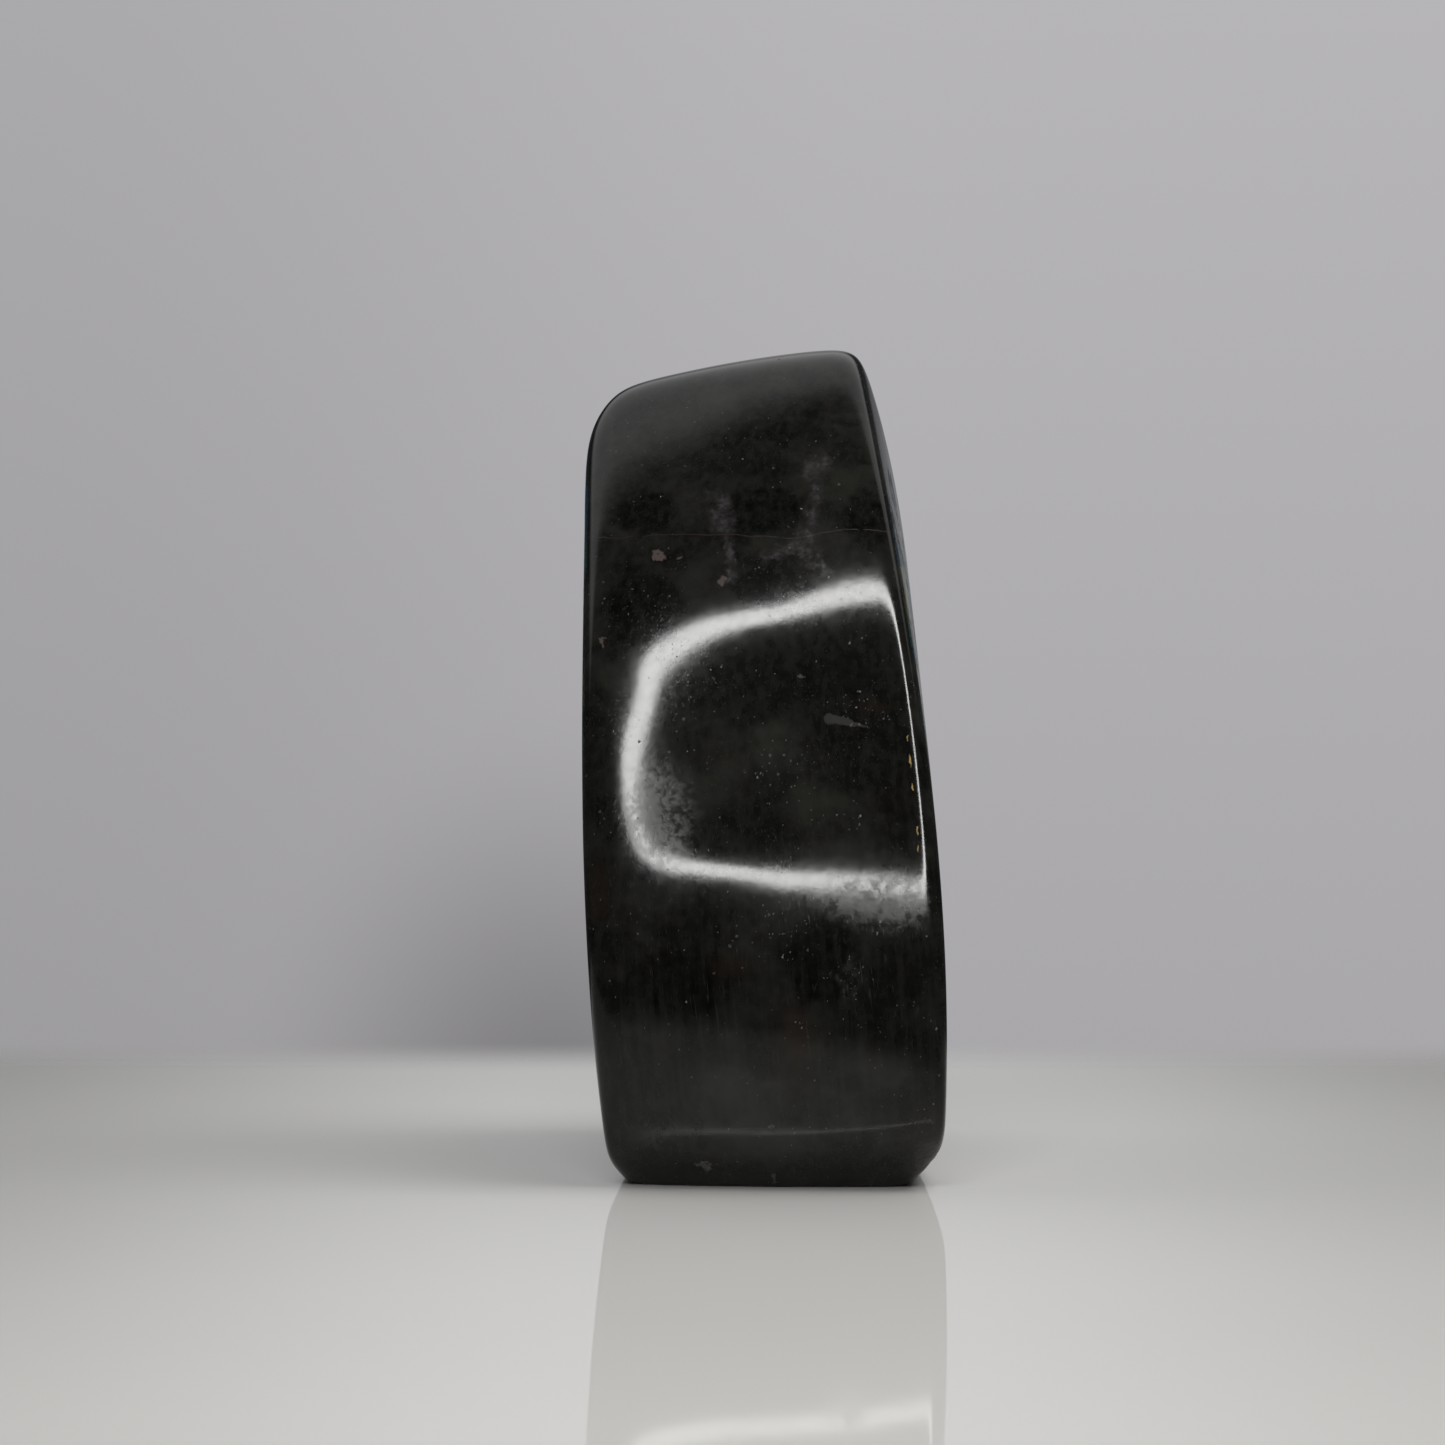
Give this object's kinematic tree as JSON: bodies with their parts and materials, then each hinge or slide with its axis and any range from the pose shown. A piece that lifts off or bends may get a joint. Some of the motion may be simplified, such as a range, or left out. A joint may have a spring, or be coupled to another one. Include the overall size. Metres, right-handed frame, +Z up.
{
  "type": "labradorite freeform stone",
  "caption": "Tall free-standing polished stone: broad shallow domes, rounded arrises, a bellied narrow front edge, a sloping crest and a ground flat base.",
  "frame": {"origin": "middle of the flat base, on the surface that the stone stands on", "axes": "+Z up along the stone's height, X across its thickness between the two broad faces, -Y out of the narrow front edge"},
  "size_m": [0.0488, 0.088, 0.1136],
  "materials": {
    "labradorite": "high polish"
  },
  "bodies": {
    "root": {"stone": "labradorite"}
  },
  "joints": []
}
